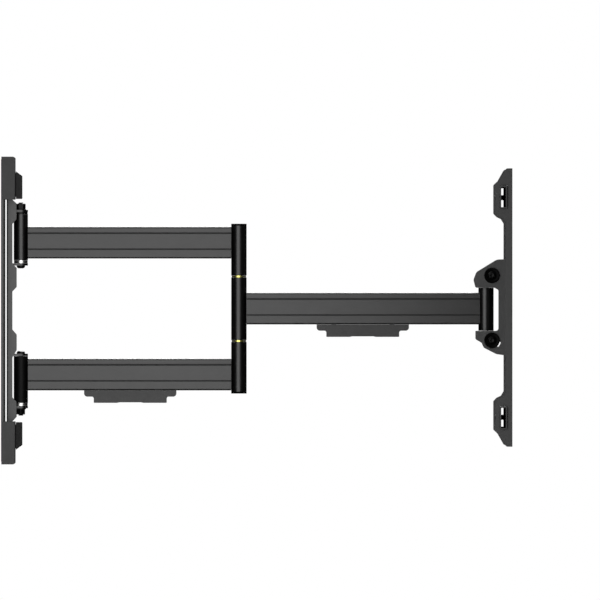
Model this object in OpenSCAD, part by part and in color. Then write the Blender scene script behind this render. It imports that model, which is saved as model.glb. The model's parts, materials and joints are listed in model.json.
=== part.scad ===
// Full motion TV wall mount: one folding arm between a narrow wall plate and a tilting head.
// Frame: origin at the centre of the wall plate's back face, +X away from the wall, +Z up.
// The arm is modelled straight out from the wall. Y is 0 on the arm's middle plane.

/* [Wall plate] */
// Width of the wall plate
plate_w = 110; // [104:1:116]
// Height of the wall plate
plate_h = 468; // [462:1:470]
// Thickness of the wall plate's sheet
plate_t = 3; // [2.5:0.5:3.5]
// Depth of the stiffening rim down its two long edges
rim_depth = 5.4; // [4.8:0.1:5.6]
// Height between the two stud bolt holes
stud_spacing = 440; // [436:1:442]
// Width between the side anchor holes
anchor_spacing_y = 76; // [70:1:84]
// Height between the side anchor holes
anchor_spacing_z = 390; // [386:1:396]
// Radius of the wall bolt holes
wall_hole_r = 4.5; // [4:0.25:5]

/* [Plate covers] */
// Height at which a cover's open end starts
cover_from = 172; // [170:1:173]
// Height at which a cover's closed end stops
cover_to = 238.2; // [238:0.2:240]
// Depth of a cover from the wall
cover_depth = 21.2; // [20.5:0.1:22]
// Depth of the raised boss on a cover, from the wall
boss_depth = 32.2; // [29:0.2:34]
// Thickness of the cover moulding
cover_wall = 2; // [1.8:0.1:2.4]

/* [Hinge channel] */
// Width of the channel that carries the shoulder hinges
channel_w = 36; // [34:1:38]
// Distance of the channel's back from the wall
channel_x = 8.2; // [8:0.1:8.8]
// Thickness of the channel's sheet
channel_t = 2.5; // [2:0.1:2.8]
// Half of the channel's height
channel_half = 205; // [202:1:206]
// Depth of the side flanges where an arm folds past them, from the wall
flange_low = 16.7; // [16:0.1:17.2]
// Depth of the side flanges elsewhere, from the wall
flange_high = 23.4; // [22.5:0.1:24]

/* [Shoulder hinges] */
// Distance of the shoulder axis from the wall
shoulder_x = 30; // [29.5:0.1:30.5]
// Outer radius of the shoulder barrels
shoulder_r = 11; // [10.5:0.1:11.2]
// Radius of the hinge bolts
bolt_r = 4; // [3.8:0.1:4.2]
// Thickness of the hinge lugs
lug_t = 3.5; // [3:0.1:3.6]
// Bottom of the upper shoulder barrel
upper_barrel_low = 78; // [77.5:0.1:78.5]
// Top of the upper shoulder barrel
upper_barrel_high = 149.5; // [149:0.1:150]
// Bottom of the lower shoulder barrel
lower_barrel_low = -143.2; // [-143.6:0.1:-142.8]
// Top of the lower shoulder barrel
lower_barrel_high = -70.6; // [-71:0.1:-70.2]

/* [Arms] */
// Shoulder axis to elbow axis
rear_reach = 338; // [330:1:345]
// Elbow axis to head axis
fore_reach = 383; // [375:1:390]
// Height of the arm tubes
arm_h = 49.2; // [47:0.2:50]
// Thickness of the arm tubes
arm_t = 20; // [19:0.5:21]
// Wall of the arm tubes
arm_wall = 2.2; // [2:0.1:2.5]
// Middle height of the upper rear arm
upper_arm_z = 105.2; // [104.5:0.1:106]
// Middle height of the lower rear arm
lower_arm_z = -99.2; // [-100:0.1:-98.5]
// Middle height of the forearm
forearm_z = 3; // [2:0.1:4]
// Width of the rolled grooves along an arm
groove_w = 4.2; // [3.2:0.1:4.6]
// Depth of the rolled grooves
groove_d = 1.1; // [0.8:0.1:1.4]

/* [Elbow] */
// Outer radius of the elbow sleeves
elbow_r = 11.95; // [11.5:0.05:12.2]
// Radius of the elbow pin
pin_r = 6; // [5.5:0.1:6.2]
// Top of the elbow
elbow_top = 134.5; // [134:0.1:136]
// Bottom of the elbow
elbow_bottom = -128.7; // [-130:0.1:-128.2]
// Top of the middle sleeve
middle_top = 51.2; // [50.6:0.1:51.8]
// Bottom of the middle sleeve
middle_bottom = -45.7; // [-46.3:0.1:-45.1]
// Space between two sleeves
sleeve_gap = 3.1; // [2.9:0.1:3.4]

/* [Cable clips] */
// Length of a clip's upper part
clip_len = 143; // [135:1:150]
// Length of a clip's deep part
clip_body_len = 113; // [105:1:118]
// Height of a clip's upper part
clip_rim = 9.6; // [9:0.1:10.4]
// Full height of a clip
clip_depth = 19.2; // [18:0.1:20.4]
// Middle of the rear clip from the wall
rear_clip_x = 199.6; // [180:1:220]
// Middle of the front clip from the wall
front_clip_x = 560; // [540:1:580]

/* [Head] */
// Outer radius of the head knuckle
knuckle_r = 11.85; // [11.5:0.05:12]
// Bottom of the head knuckle
knuckle_low = -31; // [-31.2:0.1:-30.6]
// Top of the head knuckle
knuckle_high = 35.2; // [34.8:0.1:35.4]
// Head axis to the face that the TV bolts to
head_depth = 39; // [38.5:0.1:39.5]
// Head axis to the tilt bolts
tilt_ahead = 9; // [8.8:0.1:9.2]
// Height of the tilt pivot bolt
tilt_z = -46.2; // [-46.6:0.1:-45.8]
// Height of the lock bolt above the pivot bolt
tilt_rise = 100.5; // [100:0.1:101]
// Tilt up, as the slot in the yoke allows it
tilt_up = 2; // [1:0.5:3]

/* [Rails and TV brackets] */
// Width between the two rows of TV holes
vesa_w = 400; // [396:1:400]
// Height between the end TV holes
vesa_h = 400; // [396:1:404]
// Length of the TV brackets
bracket_h = 429; // [425:1:440]
// Width of a TV bracket
bracket_w = 32; // [30:1:34]
// Height of the middle of the TV brackets
head_z = 4.7; // [4:0.1:5.4]
// Height of each rail from the middle of the TV brackets
rail_off = 170.2; // [168:0.2:172]
// Height of a rail
rail_h = 35; // [33:0.5:36]
// Depth of a rail
rail_d = 11.1; // [10.8:0.1:11.4]
// Length of a rail
rail_len = 440; // [436:1:460]
// Radius of the TV bolt holes
tv_hole_r = 4.25; // [4:0.25:4.5]

/* [Hidden] */

$fn = 48;
cut = 1;          // how far a cutting shape runs past a face
gap = 0.1;        // clearance between flat faces that slide
fit = 0.06;       // radial clearance of a shaft in its bushing
seat = 0.02;      // radial clearance of a bushing in its barrel
loose = 0.3;      // clearance of a bolt in a slot

powder_grey = [0.27, 0.27, 0.28];
powder_black = [0.06, 0.06, 0.06];
plastic_grey = [0.22, 0.22, 0.23];
zinc_black = [0.1, 0.1, 0.1];
nylon_white = [0.93, 0.93, 0.92];
bright_steel = [0.8, 0.8, 0.8];
brass = [0.85, 0.8, 0.4];

elbow_x = shoulder_x + rear_reach;
knuckle_x = elbow_x + fore_reach;
tv_x = knuckle_x + head_depth;
tilt_x = knuckle_x + tilt_ahead;

thrust_t = 4.6;                        // bright thrust washer under each shoulder barrel
upper_shim = 3;                        // spacer above the upper shoulder barrel
barrel_bore = 8.5;
bushing_len = 14;
spigot_len = 30;
core_half = 3;
web_x = channel_x + channel_t;
clevis_t = 3;
clevis_w = 26;
nut_h = 8;
nut_af = 13;
washer_t = 1.6;
washer_r = 8;
shim_inset = 0.4;        // how far a shim stands back from its barrel
head_r = 6.5;
head_h = 4.4;

sleeve_bore = 9;
cap_t = 3;
pin_inset = 9.5;          // room above and below the elbow pin, inside the caps
pin_top = elbow_top - cap_t - pin_inset;
pin_bottom = elbow_bottom + cap_t + pin_inset;
pin_head_h = 6;
pin_hex = 14;

// Tilting head, from the rails forwards
rail_front = tv_x - 8.2;
rail_back = rail_front - rail_d;
rail_wall = 2;
plate_front = rail_front + 3;
tilt_web_t = 3;
cheek_in = 21;
cheek_t = 3;
fork_out = 20;
fork_t = 3;
yoke_web_x = tilt_x + 11;
yoke_web_t = 2.5;
yoke_web_top = 45;        // below the lock bolt's way when the head tilts down
fork_tip = tv_x - 4.2;
fork_top = 62.5;
swivel_shim = 2;
cap_r = 12.1;
cap_washer_t = 3;
disc_r = 10.4;
head_window_low = -30;
head_window_high = 68;
bracket_t = 2.5;
bracket_depth = 10;
ear_depth = 26;

// Corner list [x, z, radius] to an outline with round corners
function unit(v) = v / norm(v);
function arc_turn(a0, a1) = ((a1 - a0 + 540) % 360) - 180;
function corner(before, at, after, steps) =
    let (
        q = [at.x, at.y],
        a = unit([before.x, before.y] - q),
        b = unit([after.x, after.y] - q),
        half = acos(a * b) / 2,
        c = q + unit(a + b) * at.z / sin(half),
        t0 = q + a * at.z / tan(half) - c,
        t1 = q + b * at.z / tan(half) - c,
        a0 = atan2(t0.y, t0.x),
        turn = arc_turn(a0, atan2(t1.y, t1.x))
    )
    at.z == 0 ? [q] :
        [for (i = [0 : steps]) c + at.z * [cos(a0 + turn * i / steps), sin(a0 + turn * i / steps)]];
function rounded(pts, steps = 6) =
    let (n = len(pts))
    [for (i = [0 : n - 1]) each corner(pts[(i + n - 1) % n], pts[i], pts[(i + 1) % n], steps)];
function flip_z(pts) = [for (i = [len(pts) - 1 : -1 : 0]) [pts[i].x, -pts[i].y, pts[i].z]];

// Building blocks
module block(low, high) {
    translate(low)
        cube(high - low);
}

module rod_x(r, y, z, low, high) {
    translate([low, y, z])
        rotate([0, 90, 0])
            cylinder(r = r, h = high - low);
}

module rod_y(r, x, z, low, high) {
    translate([x, high, z])
        rotate([90, 0, 0])
            cylinder(r = r, h = high - low);
}

module rod_z(r, x, low, high) {
    translate([x, 0, low])
        cylinder(r = r, h = high - low);
}

module ring_z(x, r_out, r_in, low, high) {
    difference() {
        rod_z(r_out, x, low, high);
        rod_z(r_in, x, low - cut, high + cut);
    }
}

module ring_y(x, z, r_out, r_in, low, high) {
    difference() {
        rod_y(r_out, x, z, low, high);
        rod_y(r_in, x, z, low - cut, high + cut);
    }
}

// A plate whose outline is drawn in X and Z
module upright(low, high) {
    translate([0, high, 0])
        rotate([90, 0, 0])
            linear_extrude(high - low)
                children();
}

// A bar whose section is drawn in Y and Z
module along_x(low, high) {
    translate([low, 0, 0])
        rotate([90, 0, 90])
            linear_extrude(high - low)
                children();
}

// Keeps what lies inside a bent sheet's outline in X and Y, over the whole height
module bent(back, front, half_w, r_back, r_front, half_h) {
    intersection() {
        union()
            children();
        translate([0, 0, -half_h])
            linear_extrude(2 * half_h)
                polygon(rounded([[back, -half_w, r_back], [front, -half_w, r_front], [front, half_w, r_front],
                    [back, half_w, r_back]]));
    }
}

module hexagon(across_flats) {
    circle(r = across_flats / sqrt(3), $fn = 6);
}

module nut_z(x, low, height, across_flats, bore) {
    difference() {
        translate([x, 0, low])
            linear_extrude(height)
                hexagon(across_flats);
        rod_z(bore, x, low - cut, low + height + cut);
    }
}

module nut_y(x, z, low, height, across_flats, bore) {
    difference() {
        translate([x, low + height, z])
            rotate([90, 0, 0])
                linear_extrude(height)
                    hexagon(across_flats);
        rod_y(bore, x, z, low - cut, low + height + cut);
    }
}

module nut_x(y, z, low, height, across_flats, bore) {
    difference() {
        translate([low, y, z])
            rotate([90, 0, 90])
                linear_extrude(height)
                    hexagon(across_flats);
        rod_x(bore, y, z, low - cut, low + height + cut);
    }
}

// Wall side
rim_back_r = 1.5;
rim_front_r = 2.8;
channel_bend = 2.4;
post_y = 46;
post_z = 225;
post_tip_r = 2;
post_r = 3.5;

module wall_plate() {
    color(powder_grey)
        difference() {
            bent(0, rim_depth, plate_w / 2, rim_back_r, rim_front_r, plate_h) {
                block([0, -plate_w / 2, -plate_h / 2], [plate_t, plate_w / 2, plate_h / 2]);
                for (s = [-1, 1])
                    block([0, s * plate_w / 2 - (s > 0 ? plate_t : 0), -plate_h / 2],
                        [rim_depth, s * plate_w / 2 + (s > 0 ? 0 : plate_t), plate_h / 2]);
            }
            for (z = [-1, 1])
                rod_x(wall_hole_r, 0, z * stud_spacing / 2, -cut, plate_t + cut);
            for (y = [-1, 1], z = [-1, 1])
                rod_x(wall_hole_r, y * anchor_spacing_y / 2, z * anchor_spacing_z / 2, -cut, plate_t + cut);
            for (y = [-1, 1], z = [-1, 1])
                rod_x(post_tip_r + loose, y * post_y, z * post_z, -cut, plate_t + cut);
            for (y = [-1, 1], z = [-1, 1])
                rod_x(rivet_r, y * rivet_y, z * rivet_z, -cut, plate_t + cut);
            for (z = [-3 : 2 : 3])
                relief_slot(z * relief_step / 2);
        }
}

// Long weight-saving slots in the plate, beside the channel
relief_y = 36;
relief_step = 80;

module relief_slot(z) {
    slot_r = 6;
    slot_half = 24;
    for (y = [-relief_y, relief_y]) {
        block([-cut, y - slot_r, z - slot_half], [plate_t + cut, y + slot_r, z + slot_half]);
        for (s = [-1, 1])
            rod_x(slot_r, y, z + s * slot_half, -cut, plate_t + cut);
    }
}

// Side flange of the channel: deep beside the hinge lugs, shallow where an arm folds past
flange_upper = [[channel_x, 0, 0], [flange_low, 0, 0], [flange_low, 29.5, 2], [flange_high, 36.4, 3],
    [flange_high, 65.9, 3], [flange_low, 73, 2], [flange_low, 134.4, 2], [flange_high, 141.4, 3],
    [flange_high, 165.9, 3], [flange_low, 172, 2], [flange_low - 1, channel_half, 3],
    [channel_x, channel_half, 0]];
flange_lower = [[channel_x, 0, 0], [flange_low, 0, 0], [flange_low, 29.5, 2], [flange_high, 37.2, 3],
    [flange_high, 61.2, 3], [flange_low, 72.9, 2], [flange_low, 134.9, 2], [flange_high, 141, 3],
    [flange_high, 165, 3], [flange_low, 172, 2], [flange_low - 1, channel_half, 3],
    [channel_x, channel_half, 0]];
rivet_r = 3;
rivet_y = 9;
rivet_z = 190;
rivet_sink = 0.3;
rivet_head_r = 5.5;
rivet_crown_r = 3.5;
rivet_head_h = 2.4;
spacer_half_w = 15;
spacer_half_h = 11;

module hinge_channel() {
    color(powder_grey)
        difference() {
            bent(channel_x, flange_high + cut, channel_w / 2, channel_bend, 0, channel_half) {
                block([channel_x, -channel_w / 2, -channel_half], [web_x, channel_w / 2, channel_half]);
                for (low = [-channel_w / 2, channel_w / 2 - channel_t])
                    upright(low, low + channel_t) {
                        polygon(rounded(flange_upper));
                        polygon(rounded(flip_z(flange_lower)));
                    }
            }
            for (y = [-1, 1], z = [-1, 1])
                rod_x(rivet_r, y * rivet_y, z * rivet_z, channel_x - cut, web_x + cut);
        }
}

module channel_spacers() {
    color(zinc_black)
        for (s = [-1, 1])
            difference() {
                block([plate_t, -spacer_half_w, s * rivet_z - spacer_half_h],
                    [channel_x, spacer_half_w, s * rivet_z + spacer_half_h]);
                for (y = [-1, 1])
                    rod_x(rivet_r, y * rivet_y, s * rivet_z, plate_t - cut, channel_x + cut);
            }
}

module channel_rivets() {
    color(zinc_black)
        for (y = [-1, 1], z = [-1, 1]) {
            rod_x(rivet_r - seat, y * rivet_y, z * rivet_z, rivet_sink, web_x);
            translate([web_x, y * rivet_y, z * rivet_z])
                rotate([0, 90, 0])
                    cylinder(r1 = rivet_head_r, r2 = rivet_crown_r, h = rivet_head_h);
        }
}

// Bracket with two lugs that holds one shoulder barrel
module clevis(barrel_low, barrel_high, shim) {
    low = barrel_low - thrust_t - 2 * gap - lug_t;
    high = barrel_high + shim + lug_t;
    color(powder_black)
        difference() {
            union() {
                block([web_x, -clevis_w / 2, low], [web_x + clevis_t, clevis_w / 2, high]);
                for (z = [low, high - lug_t]) {
                    block([web_x, -shoulder_r, z], [shoulder_x, shoulder_r, z + lug_t]);
                    rod_z(shoulder_r, shoulder_x, z, z + lug_t);
                }
            }
            rod_z(bolt_r + fit, shoulder_x, low - cut, high + cut);
        }
}

module upper_clevis() {
    clevis(upper_barrel_low, upper_barrel_high, upper_shim);
}

module lower_clevis() {
    clevis(lower_barrel_low, lower_barrel_high, 2 * gap);
}

// Snap-on cover for one end of the wall plate
cover_half = plate_w / 2 + 3;
cover_back = 0.5;
way_in = 0.5;
boss_len = 44;
boss_half_base = 32;
boss_half_top = 21;
seam_w = 1.5;
seam_d = 3.2;
boss_slope = [[cover_depth - cut, cover_from + 1, 0], [boss_depth, cover_from + 1, 1.5],
    [boss_depth, 208.5, 1.5], [cover_depth + 1.3, 215.8, 1], [cover_depth - cut, 216.8, 0]];

module boss_solid(shrink) {
    intersection() {
        upright(-cover_half, cover_half)
            translate([-shrink, 0])
                polygon(rounded(boss_slope));
        translate([0, 0, cover_from + 1 + shrink])
            linear_extrude(boss_len - shrink)
                polygon([[0, shrink - boss_half_base], [cover_depth, shrink - boss_half_base],
                    [boss_depth, shrink - boss_half_top], [boss_depth, boss_half_top - shrink],
                    [cover_depth, boss_half_base - shrink], [0, boss_half_base - shrink]]);
    }
}

// Shadow line round the foot of the boss
module seam() {
    difference() {
        block([cover_depth, -cover_half, cover_from], [cover_depth + seam_w, cover_half, cover_to]);
        boss_solid(seam_d);
    }
}

module plate_cover() {
    inside_x = cover_depth - cover_wall;
    inside_y = cover_half - cover_wall;
    mouth_top = cover_from + cover_wall + cut;
    outline = [[cover_back, cover_from, 0], [cover_depth, cover_from, 0.8], [cover_depth, cover_to, 3],
        [cover_back, cover_to, 0]];
    color(plastic_grey) {
        difference() {
            union() {
                upright(-cover_half, cover_half)
                    polygon(rounded(outline));
                difference() {
                    boss_solid(0);
                    seam();
                }
            }
            block([-cut, -inside_y, cover_from + cover_wall], [inside_x, inside_y, cover_to - cover_wall]);
            boss_solid(seam_d + cover_wall);
            // Way in for the wall plate and for the channel
            block([-cut, -inside_y, cover_from - cut], [rim_depth + way_in, inside_y, mouth_top]);
            block([-cut, -channel_w / 2 - way_in, cover_from - cut],
                [flange_low + way_in, channel_w / 2 + way_in, mouth_top]);
        }
        for (y = [-1, 1]) {
            rod_x(post_r, y * post_y, post_z, plate_t, inside_x + cover_wall / 4);
            rod_x(post_tip_r, y * post_y, post_z, cover_back, plate_t + cover_wall / 4);
        }
    }
}

module top_cover() {
    plate_cover();
}

module bottom_cover() {
    mirror([0, 0, 1])
        plate_cover();
}

// Shoulder hardware: head below and nut above on the upper hinge, the other way up on the lower one
upper_lug_low = upper_barrel_low - thrust_t - 2 * gap - lug_t;
upper_lug_high = upper_barrel_high + upper_shim + lug_t;
lower_lug_low = lower_barrel_low - thrust_t - 2 * gap - lug_t;
lower_lug_high = lower_barrel_high + 2 * gap + lug_t;
thread_out = 1.8;

module shoulder_bolts() {
    color(zinc_black) {
        rod_z(bolt_r, shoulder_x, upper_lug_low, upper_lug_high + washer_t + nut_h + thread_out);
        rod_z(head_r, shoulder_x, upper_lug_low - head_h, upper_lug_low);
        rod_z(bolt_r, shoulder_x, lower_lug_low - washer_t - nut_h - thread_out, lower_lug_high);
        rod_z(head_r, shoulder_x, lower_lug_high, lower_lug_high + head_h);
    }
}

module shoulder_nuts() {
    color(zinc_black) {
        nut_z(shoulder_x, upper_lug_high + washer_t, nut_h, nut_af, bolt_r + seat);
        nut_z(shoulder_x, lower_lug_low - washer_t - nut_h, nut_h, nut_af, bolt_r + seat);
    }
}

module shoulder_steel_washers() {
    color(zinc_black) {
        for (low = [upper_lug_high, lower_lug_low - washer_t])
            ring_z(shoulder_x, washer_r, bolt_r + fit, low, low + washer_t);
        ring_z(shoulder_x, shoulder_r - shim_inset, bolt_r + fit, upper_barrel_high + gap,
            upper_barrel_high + upper_shim);
    }
}

module shoulder_thrust_washers() {
    color(bright_steel)
        for (top = [upper_barrel_low - gap, lower_barrel_low - gap])
            ring_z(shoulder_x, shoulder_r - shim_inset, bolt_r + fit, top - thrust_t, top);
}

// Steel barrel with a thin core that runs to the arm tube and a tongue that fills the tube's end
module barrel(x, r_out, r_in, low, high, side, arm_z) {
    tongue_z = arm_h / 2 - arm_wall - gap;
    tube_end = x + side * (r_out + gap);
    color(powder_black)
        difference() {
            union() {
                rod_z(r_out, x, low, high);
                bar_x(x, tube_end + side * cut, core_half, arm_z, tongue_z);
                bar_x(tube_end, tube_end + side * spigot_len, arm_t / 2 - arm_wall - gap, arm_z, tongue_z);
            }
            rod_z(r_in, x, low - cut, high + cut);
        }
}

// Bar between two distances from the wall, in either order
module bar_x(from, to, half_y, mid_z, half_z) {
    block([min(from, to), -half_y, mid_z - half_z], [max(from, to), half_y, mid_z + half_z]);
}

module upper_shoulder_barrel() {
    barrel(shoulder_x, shoulder_r, barrel_bore, upper_barrel_low, upper_barrel_high, 1, upper_arm_z);
}

module lower_shoulder_barrel() {
    barrel(shoulder_x, shoulder_r, barrel_bore, lower_barrel_low, lower_barrel_high, 1, lower_arm_z);
}

// Pair of bushings in the two ends of a barrel
module bushing_pair(x, r_out, r_in, low, high) {
    color(nylon_white)
        for (z = [low + gap, high - bushing_len - gap])
            ring_z(x, r_out - seat, r_in, z, z + bushing_len);
}

module shoulder_bushings() {
    bushing_pair(shoulder_x, barrel_bore, bolt_r + fit, upper_barrel_low, upper_barrel_high);
    bushing_pair(shoulder_x, barrel_bore, bolt_r + fit, lower_barrel_low, lower_barrel_high);
}

// Arm tube section in Y and Z: rounded, with two V grooves rolled into each side
groove_down = [10, 34.6];

module arm_section() {
    r = 3;
    mouth = groove_w / 2 * (groove_d + cut) / groove_d;
    difference() {
        union() {
            square([arm_t - 2 * r, arm_h], center = true);
            square([arm_t, arm_h - 2 * r], center = true);
            for (y = [-1, 1], z = [-1, 1])
                translate([y * (arm_t / 2 - r), z * (arm_h / 2 - r)])
                    circle(r = r);
        }
        square([arm_t - 2 * arm_wall, arm_h - 2 * arm_wall], center = true);
        for (side = [-1, 1], down = groove_down)
            translate([side * arm_t / 2, arm_h / 2 - down])
                polygon([[-side * groove_d, 0], [side * cut, -side * mouth], [side * cut, side * mouth]]);
    }
}

// Slots in an arm's floor for the hooks of a cable clip
clip_wall = 2;
clip_inset = 0.2;
hook_len = 8;
hook_x = 45;
hook_y = arm_t / 2 - clip_wall / 2 - 1.2;
hook_play = 0.6;
hook_up = 3;
hook_root = 5;

module hook_slots(clip_x, arm_z) {
    for (x = [-1, 1], y = [-1, 1])
        translate([clip_x + x * hook_x, y * hook_y, arm_z - arm_h / 2])
            cube([hook_len + hook_play, clip_wall + hook_play, 3 * arm_wall], center = true);
}

module arm_tube(low, high, arm_z) {
    color(powder_grey)
        translate([0, 0, arm_z])
            along_x(low, high)
                arm_section();
}

module upper_rear_arm() {
    arm_tube(shoulder_x + shoulder_r + gap, elbow_x - elbow_r - gap, upper_arm_z);
}

module lower_rear_arm() {
    difference() {
        arm_tube(shoulder_x + shoulder_r + gap, elbow_x - elbow_r - gap, lower_arm_z);
        hook_slots(rear_clip_x, lower_arm_z);
    }
}

module forearm() {
    difference() {
        arm_tube(elbow_x + elbow_r + gap, knuckle_x - knuckle_r + 2.5, forearm_z);
        hook_slots(front_clip_x, forearm_z);
        rod_z(knuckle_r + gap, knuckle_x, knuckle_low - cut, knuckle_high + cut);
    }
}

// Cable clip under an arm: a trough whose raised ends let the cables in
dimple_out = 20.5;
dimple_in = 16.6;
dimple_d = 0.8;

module cable_clip(clip_x, arm_z) {
    top = arm_z - arm_h / 2 - gap;
    half = arm_t / 2 - clip_inset;
    inside = half - clip_wall;
    body = clip_body_len / 2;
    right = [[clip_len / 2, 0, 0], [clip_len / 2, -clip_rim, 5], [body, -clip_rim, 3],
        [body, -clip_depth, 1], [dimple_out, -clip_depth, 2], [dimple_in, dimple_d - clip_depth, 2]];
    left = [for (i = [len(right) - 1 : -1 : 0]) [-right[i].x, right[i].y, right[i].z]];
    color(plastic_grey)
        translate([clip_x, 0, top]) {
            difference() {
                upright(-half, half)
                    polygon(rounded(concat(right, left)));
                block([-clip_len / 2 - cut, -inside, clip_wall - clip_rim],
                    [clip_len / 2 + cut, inside, cut]);
                block([clip_wall - body, -inside, clip_wall + dimple_d - clip_depth],
                    [body - clip_wall, inside, cut]);
            }
            for (x = [-1, 1], y = [-1, 1])
                translate([x * hook_x, y * hook_y, (hook_up - hook_root) / 2])
                    cube([hook_len, clip_wall, hook_up + hook_root], center = true);
        }
}

module rear_cable_clip() {
    cable_clip(rear_clip_x, lower_arm_z);
}

module front_cable_clip() {
    cable_clip(front_clip_x, forearm_z);
}

// Elbow
module elbow_sleeve_top() {
    barrel(elbow_x, elbow_r, sleeve_bore, middle_top + sleeve_gap, elbow_top - cap_t, -1, upper_arm_z);
}

module elbow_sleeve_bottom() {
    barrel(elbow_x, elbow_r, sleeve_bore, elbow_bottom + cap_t, middle_bottom - sleeve_gap, -1,
        lower_arm_z);
}

module elbow_sleeve_middle() {
    barrel(elbow_x, elbow_r, sleeve_bore, middle_bottom, middle_top, 1, forearm_z);
}

module elbow_pin() {
    color(zinc_black) {
        rod_z(pin_r, elbow_x, pin_bottom - pin_head_h, pin_top);
        translate([elbow_x, 0, pin_top])
            linear_extrude(pin_head_h)
                hexagon(pin_hex);
    }
}

module elbow_nut() {
    color(zinc_black)
        nut_z(elbow_x, pin_bottom - pin_head_h, pin_head_h, pin_hex, pin_r + seat);
}

module elbow_cap(face, inwards) {
    plug = 2.8;
    color(plastic_grey)
        for (disc = [[elbow_r, cap_t], [sleeve_bore - fit, cap_t + plug]]) {
            other = face + inwards * disc[1];
            rod_z(disc[0], elbow_x, min(face, other), max(face, other));
        }
}

module elbow_cap_top() {
    elbow_cap(elbow_top, -1);
}

module elbow_cap_bottom() {
    elbow_cap(elbow_bottom, 1);
}

module elbow_rear_bushings() {
    bushing_pair(elbow_x, sleeve_bore, pin_r + seat, middle_top + sleeve_gap, pin_top + gap);
    bushing_pair(elbow_x, sleeve_bore, pin_r + seat, pin_bottom - gap, middle_bottom - sleeve_gap);
}

module elbow_middle_bushings() {
    bushing_pair(elbow_x, sleeve_bore, pin_r + fit, middle_bottom, middle_top);
}

module elbow_thrust_washers() {
    color(brass)
        for (low = [middle_top + gap, middle_bottom - sleeve_gap + gap])
            ring_z(elbow_x, elbow_r - 2 * shim_inset, pin_r + loose, low, low + sleeve_gap - 2 * gap);
}

// Head knuckle at the end of the forearm
module head_knuckle() {
    barrel(knuckle_x, knuckle_r, barrel_bore, knuckle_low, knuckle_high, -1, forearm_z);
}

module knuckle_bushings() {
    bushing_pair(knuckle_x, barrel_bore, bolt_r + fit, knuckle_low, knuckle_high);
}

// Yoke that turns on the knuckle, with the slots for the tilt lock bolt
yoke_lug_top = knuckle_high + swivel_shim + lug_t;
yoke_lug_bottom = knuckle_low - swivel_shim - lug_t;
yoke_lug_r = 12;
yoke_outline = [[tilt_x + 12, tilt_z + 0.5, 0], [yoke_web_x + 6, tilt_z + 4, 2], [yoke_web_x + 6, 37.2, 2],
    [fork_tip, 39.5, 2], [fork_tip, fork_top, 2], [knuckle_x + 1, fork_top, 4], [knuckle_x - 7, 54, 3],
    [knuckle_x - 7, knuckle_high + swivel_shim, 1], [yoke_web_x, knuckle_high + swivel_shim, 2],
    [yoke_web_x, knuckle_low - swivel_shim, 2], [tilt_x - 12, knuckle_low - swivel_shim, 1],
    [tilt_x - 12, tilt_z - 12, 11], [tilt_x + 12, tilt_z - 12, 11]];

// Way of the lock bolt round the pivot bolt, open at the front
function heading(angle) = [sin(angle), cos(angle)];
function swing(r, from, to, steps) = [for (i = [0 : steps]) r * heading(from + (to - from) * i / steps)];
function slot_end(r, half, at, steps) =
    [for (i = [0 : steps]) r * heading(at) + half * heading(at - 180 + 180 * i / steps)];

module tilt_slot() {
    half = bolt_r + loose;
    mouth = 28;
    translate([tilt_x, tilt_z])
        polygon(concat(swing(tilt_rise + half, -tilt_up, mouth, 20),
            swing(tilt_rise - half, mouth, -tilt_up, 20), slot_end(tilt_rise, half, -tilt_up, 12)));
}

module swivel_yoke() {
    color(powder_grey)
        difference() {
            union() {
                block([yoke_web_x, -fork_out, tilt_z + 0.5],
                    [yoke_web_x + yoke_web_t, fork_out, yoke_web_top]);
                for (low = [-fork_out, fork_out - fork_t])
                    upright(low, low + fork_t)
                        difference() {
                            polygon(rounded(yoke_outline));
                            tilt_slot();
                        }
                for (low = [yoke_lug_bottom, yoke_lug_top - lug_t]) {
                    block([knuckle_x, cut - fork_out, low],
                        [yoke_web_x + cut, fork_out - cut, low + lug_t]);
                    rod_z(yoke_lug_r, knuckle_x, low, low + lug_t);
                }
            }
            rod_z(bolt_r + seat, knuckle_x, yoke_lug_bottom - cut, yoke_lug_top + cut);
            rod_y(bolt_r + fit, tilt_x, tilt_z, -fork_out - cut, fork_out + cut);
        }
}

swivel_nut_h = 4.4;
swivel_thread = 0.3;
swivel_head_r = 7;

module swivel_bolt() {
    color(zinc_black) {
        rod_z(bolt_r, knuckle_x, yoke_lug_bottom - swivel_nut_h - swivel_thread, yoke_lug_top);
        rod_z(swivel_head_r, knuckle_x, yoke_lug_top, yoke_lug_top + head_h);
    }
}

module swivel_nut() {
    color(zinc_black)
        nut_z(knuckle_x, yoke_lug_bottom - swivel_nut_h, swivel_nut_h, nut_af, bolt_r + seat);
}

module swivel_thrust_washers() {
    color(nylon_white)
        for (low = [knuckle_low - swivel_shim, knuckle_high + gap])
            ring_z(knuckle_x, knuckle_r - shim_inset / 2, bolt_r + fit, low, low + swivel_shim - gap);
}

// Tilting bracket: two C-shaped cheeks and the web between them
cheek_top = 79.2;
cheek_bottom = -69.6;
cheek_outline = [[rail_front, cheek_top, 0], [tv_x - 22, cheek_top, 14], [knuckle_x - 14.8, 59.6, 6],
    [knuckle_x - 19.4, 47.6, 8], [knuckle_x - 16.2, 35.3, 3], [tv_x - 26, 35.3, 2], [tv_x - 19.6, 32, 3],
    [tv_x - 19.6, -31.5, 4], [knuckle_x - 16.3, -31.5, 1], [knuckle_x - 16.3, -44.5, 3],
    [knuckle_x - 6.6, -50.2, 2], [knuckle_x - 3.5, -57.6, 6], [tv_x - 23, -67.6, 8],
    [rail_front, cheek_bottom, 0]];
crescent_from = 12;
crescent_to = 47;
crescent_out = 14.3;
crescent_in = 10.5;

// Narrow drain slot round the pivot bolt's cap
module crescent() {
    translate([tilt_x, tilt_z])
        intersection() {
            difference() {
                circle(r = crescent_out);
                circle(r = crescent_in);
            }
            polygon([[0, 0], for (a = [crescent_from, crescent_to]) 2 * crescent_out * [cos(a), -sin(a)]]);
        }
}

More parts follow.
